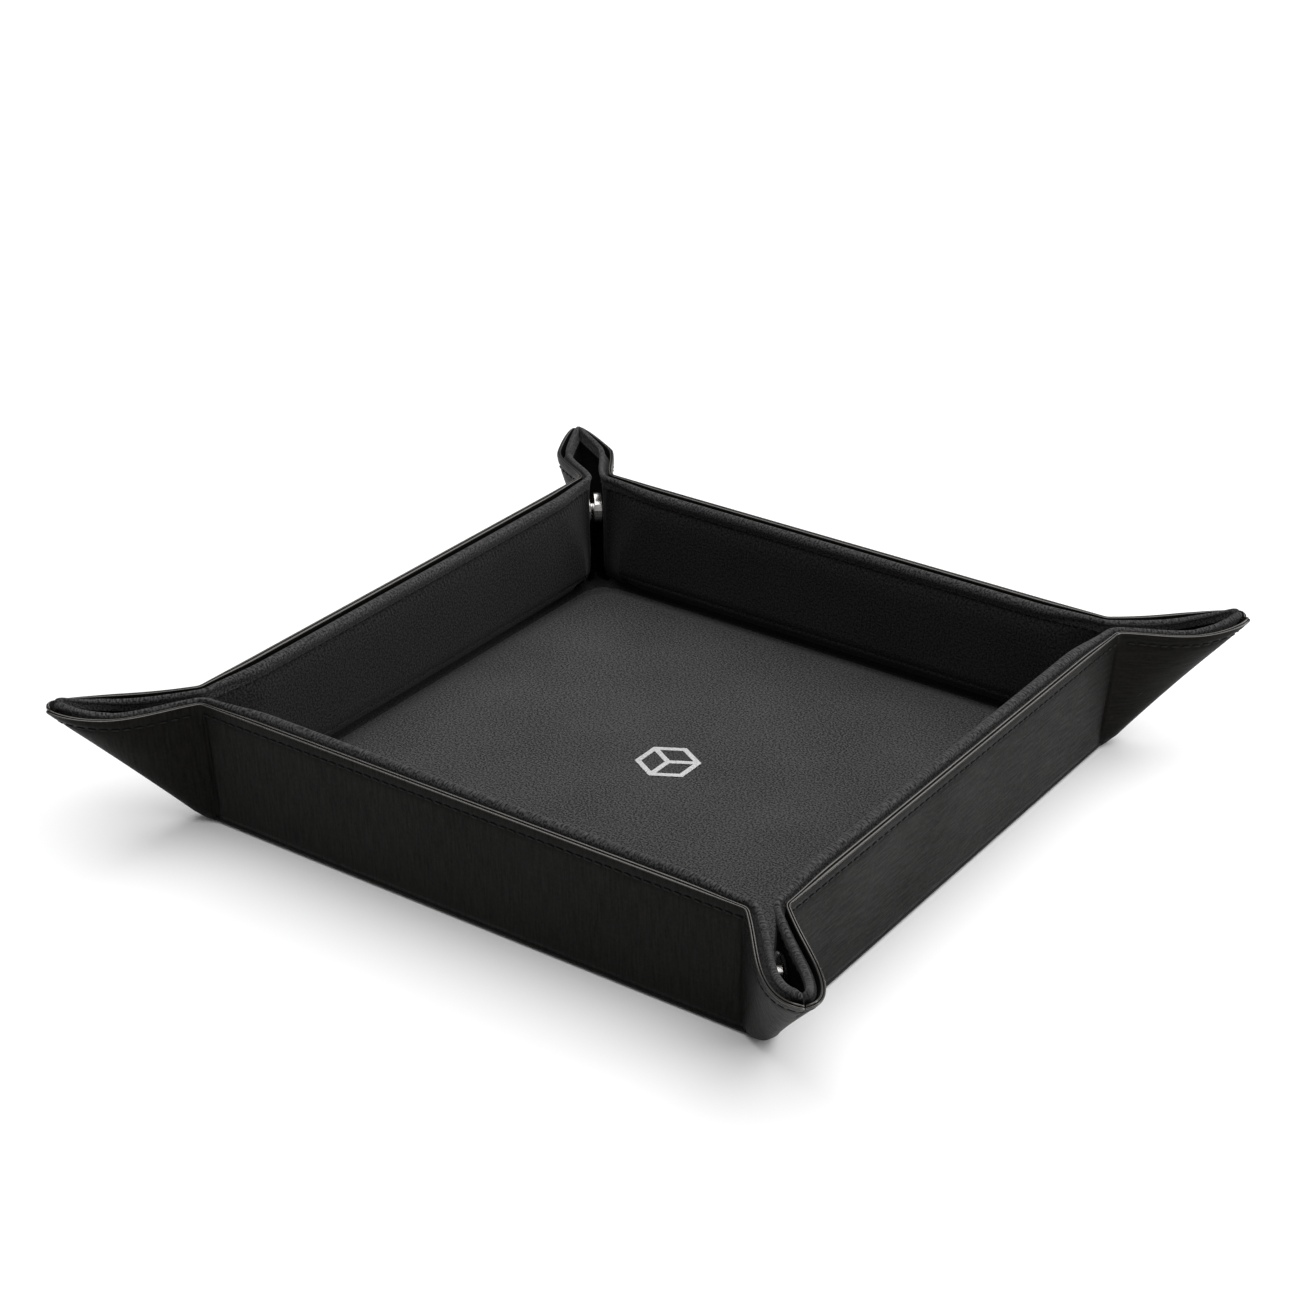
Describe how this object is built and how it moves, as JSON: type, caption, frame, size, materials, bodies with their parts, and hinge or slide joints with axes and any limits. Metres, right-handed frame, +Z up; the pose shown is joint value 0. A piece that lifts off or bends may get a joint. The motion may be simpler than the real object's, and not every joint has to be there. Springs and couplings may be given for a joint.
{
  "type": "folding dice tray",
  "caption": "Square snap-up tray: a lined leather mat on boards whose walls stand when its corners are pinched into ears by snap fasteners.",
  "frame": {"origin": "middle of the underside, on the surface the tray stands on", "axes": "+Z up out of the open tray; the front wall faces -Y, the right wall faces +X"},
  "size_m": [0.251, 0.251, 0.0404],
  "materials": {
    "leather": "near-black leatherette with a fine linear grain, satin",
    "lining": "charcoal microfibre velour, matt with a soft nap",
    "greyboard": "matt pressed greyboard stiffener, hidden",
    "foam": "thin soft foam padding, hidden",
    "nickel": "polished nickel plate",
    "foil": "pressed silver foil, satin"
  },
  "bodies": {
    "base": {"base_leather": "leather", "base_board": "greyboard", "floor_lining": "lining", "floor_motif": "foil"},
    "back_wall": {"wall_leather_back": "leather", "wall_board_back": "greyboard", "wall_foam_back": "foam", "wall_lining_back": "lining"},
    "ear_br_back": {"ear_leather_br_back": "leather", "ear_lining_br_back": "lining", "snap_stud_br": "nickel", "snap_stud_rivet_br": "nickel"},
    "ear_fold_br_back": {"ear_fold_leather_br_back": "leather"},
    "ear_bl_back": {"ear_leather_bl_back": "leather", "ear_lining_bl_back": "lining", "snap_socket_bl": "nickel", "snap_socket_rivet_bl": "nickel"},
    "ear_fold_bl_back": {"ear_fold_leather_bl_back": "leather"},
    "left_wall": {"wall_leather_left": "leather", "wall_board_left": "greyboard", "wall_foam_left": "foam", "wall_lining_left": "lining"},
    "ear_bl_left": {"ear_leather_bl_left": "leather", "ear_lining_bl_left": "lining", "snap_stud_bl": "nickel", "snap_stud_rivet_bl": "nickel"},
    "ear_fold_bl_left": {"ear_fold_leather_bl_left": "leather"},
    "ear_fl_left": {"ear_leather_fl_left": "leather", "ear_lining_fl_left": "lining", "snap_socket_fl": "nickel", "snap_socket_rivet_fl": "nickel"},
    "ear_fold_fl_left": {"ear_fold_leather_fl_left": "leather"},
    "front_wall": {"wall_leather_front": "leather", "wall_board_front": "greyboard", "wall_foam_front": "foam", "wall_lining_front": "lining"},
    "ear_fl_front": {"ear_leather_fl_front": "leather", "ear_lining_fl_front": "lining", "snap_stud_fl": "nickel", "snap_stud_rivet_fl": "nickel"},
    "ear_fold_fl_front": {"ear_fold_leather_fl_front": "leather"},
    "ear_fr_front": {"ear_leather_fr_front": "leather", "ear_lining_fr_front": "lining", "snap_socket_fr": "nickel", "snap_socket_rivet_fr": "nickel"},
    "ear_fold_fr_front": {"ear_fold_leather_fr_front": "leather"},
    "right_wall": {"wall_leather_right": "leather", "wall_board_right": "greyboard", "wall_foam_right": "foam", "wall_lining_right": "lining"},
    "ear_fr_right": {"ear_leather_fr_right": "leather", "ear_lining_fr_right": "lining", "snap_stud_fr": "nickel", "snap_stud_rivet_fr": "nickel"},
    "ear_fold_fr_right": {"ear_fold_leather_fr_right": "leather"},
    "ear_br_right": {"ear_leather_br_right": "leather", "ear_lining_br_right": "lining", "snap_socket_br": "nickel", "snap_socket_rivet_br": "nickel"},
    "ear_fold_br_right": {"ear_fold_leather_br_right": "leather"}
  },
  "joints": [
    {"name": "front_wall_fold", "type": "hinge", "parent": "base", "child": "front_wall", "pos_m": [0, -0.09694, 0.0006], "axis": [1, 0, 0], "range_deg": [0, 86.42]},
    {"name": "right_wall_fold", "type": "hinge", "parent": "base", "child": "right_wall", "pos_m": [0.09694, 0, 0.0006], "axis": [0, 1, 0], "range_deg": [0, 86.42]},
    {"name": "back_wall_fold", "type": "hinge", "parent": "base", "child": "back_wall", "pos_m": [0, 0.09694, 0.0006], "axis": [-1, 0, 0], "range_deg": [0, 86.42]},
    {"name": "left_wall_fold", "type": "hinge", "parent": "base", "child": "left_wall", "pos_m": [-0.09694, 0, 0.0006], "axis": [0, -1, 0], "range_deg": [0, 86.42]},
    {"name": "ear_fl_front_fold", "type": "hinge", "parent": "front_wall", "child": "ear_fl_front", "pos_m": [-0.09101, -0.09694, 0.0006], "axis": [0.025, 0.0624, -0.9977], "range_deg": [0, 48]},
    {"name": "ear_fold_fl_front_fold", "type": "hinge", "parent": "ear_fl_front", "child": "ear_fold_fl_front", "pos_m": [-0.09106, -0.09704, 0.0021], "axis": [-0.4453, -0.5198, 0.7291], "range_deg": [0, 50]},
    {"name": "ear_fr_front_fold", "type": "hinge", "parent": "front_wall", "child": "ear_fr_front", "pos_m": [0.09101, -0.09694, 0.0006], "axis": [0.025, -0.0624, 0.9977], "range_deg": [0, 48]},
    {"name": "ear_fold_fr_front_fold", "type": "hinge", "parent": "ear_fr_front", "child": "ear_fold_fr_front", "pos_m": [0.09106, -0.09704, 0.0021], "axis": [-0.4453, 0.5198, -0.7291], "range_deg": [0, 50]},
    {"name": "ear_fr_right_fold", "type": "hinge", "parent": "right_wall", "child": "ear_fr_right", "pos_m": [0.09694, -0.09101, 0.0006], "axis": [-0.0624, 0.025, -0.9977], "range_deg": [0, 48]},
    {"name": "ear_fold_fr_right_fold", "type": "hinge", "parent": "ear_fr_right", "child": "ear_fold_fr_right", "pos_m": [0.09704, -0.09106, 0.0021], "axis": [0.5198, -0.4453, 0.7291], "range_deg": [0, 50]},
    {"name": "ear_br_right_fold", "type": "hinge", "parent": "right_wall", "child": "ear_br_right", "pos_m": [0.09694, 0.09101, 0.0006], "axis": [0.0624, 0.025, 0.9977], "range_deg": [0, 48]},
    {"name": "ear_fold_br_right_fold", "type": "hinge", "parent": "ear_br_right", "child": "ear_fold_br_right", "pos_m": [0.09704, 0.09106, 0.0021], "axis": [-0.5198, -0.4453, -0.7291], "range_deg": [0, 50]},
    {"name": "ear_br_back_fold", "type": "hinge", "parent": "back_wall", "child": "ear_br_back", "pos_m": [0.09101, 0.09694, 0.0006], "axis": [-0.025, -0.0624, -0.9977], "range_deg": [0, 48]},
    {"name": "ear_fold_br_back_fold", "type": "hinge", "parent": "ear_br_back", "child": "ear_fold_br_back", "pos_m": [0.09106, 0.09704, 0.0021], "axis": [0.4453, 0.5198, 0.7291], "range_deg": [0, 50]},
    {"name": "ear_bl_back_fold", "type": "hinge", "parent": "back_wall", "child": "ear_bl_back", "pos_m": [-0.09101, 0.09694, 0.0006], "axis": [-0.025, 0.0624, 0.9977], "range_deg": [0, 48]},
    {"name": "ear_fold_bl_back_fold", "type": "hinge", "parent": "ear_bl_back", "child": "ear_fold_bl_back", "pos_m": [-0.09106, 0.09704, 0.0021], "axis": [0.4453, -0.5198, -0.7291], "range_deg": [0, 50]},
    {"name": "ear_bl_left_fold", "type": "hinge", "parent": "left_wall", "child": "ear_bl_left", "pos_m": [-0.09694, 0.09101, 0.0006], "axis": [0.0624, -0.025, -0.9977], "range_deg": [0, 48]},
    {"name": "ear_fold_bl_left_fold", "type": "hinge", "parent": "ear_bl_left", "child": "ear_fold_bl_left", "pos_m": [-0.09704, 0.09106, 0.0021], "axis": [-0.5198, 0.4453, 0.7291], "range_deg": [0, 50]},
    {"name": "ear_fl_left_fold", "type": "hinge", "parent": "left_wall", "child": "ear_fl_left", "pos_m": [-0.09694, -0.09101, 0.0006], "axis": [-0.0624, -0.025, 0.9977], "range_deg": [0, 48]},
    {"name": "ear_fold_fl_left_fold", "type": "hinge", "parent": "ear_fl_left", "child": "ear_fold_fl_left", "pos_m": [-0.09704, -0.09106, 0.0021], "axis": [0.5198, 0.4453, -0.7291], "range_deg": [0, 50]}
  ],
  "couplings": [
    {"joint": "right_wall_fold", "follows": "front_wall_fold", "ratio": 1},
    {"joint": "back_wall_fold", "follows": "front_wall_fold", "ratio": 1},
    {"joint": "left_wall_fold", "follows": "front_wall_fold", "ratio": 1},
    {"joint": "ear_fl_front_fold", "follows": "front_wall_fold", "ratio": 0.5554},
    {"joint": "ear_fold_fl_front_fold", "follows": "front_wall_fold", "ratio": 0.57855},
    {"joint": "ear_fr_front_fold", "follows": "front_wall_fold", "ratio": 0.5554},
    {"joint": "ear_fold_fr_front_fold", "follows": "front_wall_fold", "ratio": 0.57855},
    {"joint": "ear_fr_right_fold", "follows": "front_wall_fold", "ratio": 0.5554},
    {"joint": "ear_fold_fr_right_fold", "follows": "front_wall_fold", "ratio": 0.57855},
    {"joint": "ear_br_right_fold", "follows": "front_wall_fold", "ratio": 0.5554},
    {"joint": "ear_fold_br_right_fold", "follows": "front_wall_fold", "ratio": 0.57855},
    {"joint": "ear_br_back_fold", "follows": "front_wall_fold", "ratio": 0.5554},
    {"joint": "ear_fold_br_back_fold", "follows": "front_wall_fold", "ratio": 0.57855},
    {"joint": "ear_bl_back_fold", "follows": "front_wall_fold", "ratio": 0.5554},
    {"joint": "ear_fold_bl_back_fold", "follows": "front_wall_fold", "ratio": 0.57855},
    {"joint": "ear_bl_left_fold", "follows": "front_wall_fold", "ratio": 0.5554},
    {"joint": "ear_fold_bl_left_fold", "follows": "front_wall_fold", "ratio": 0.57855},
    {"joint": "ear_fl_left_fold", "follows": "front_wall_fold", "ratio": 0.5554},
    {"joint": "ear_fold_fl_left_fold", "follows": "front_wall_fold", "ratio": 0.57855}
  ]
}
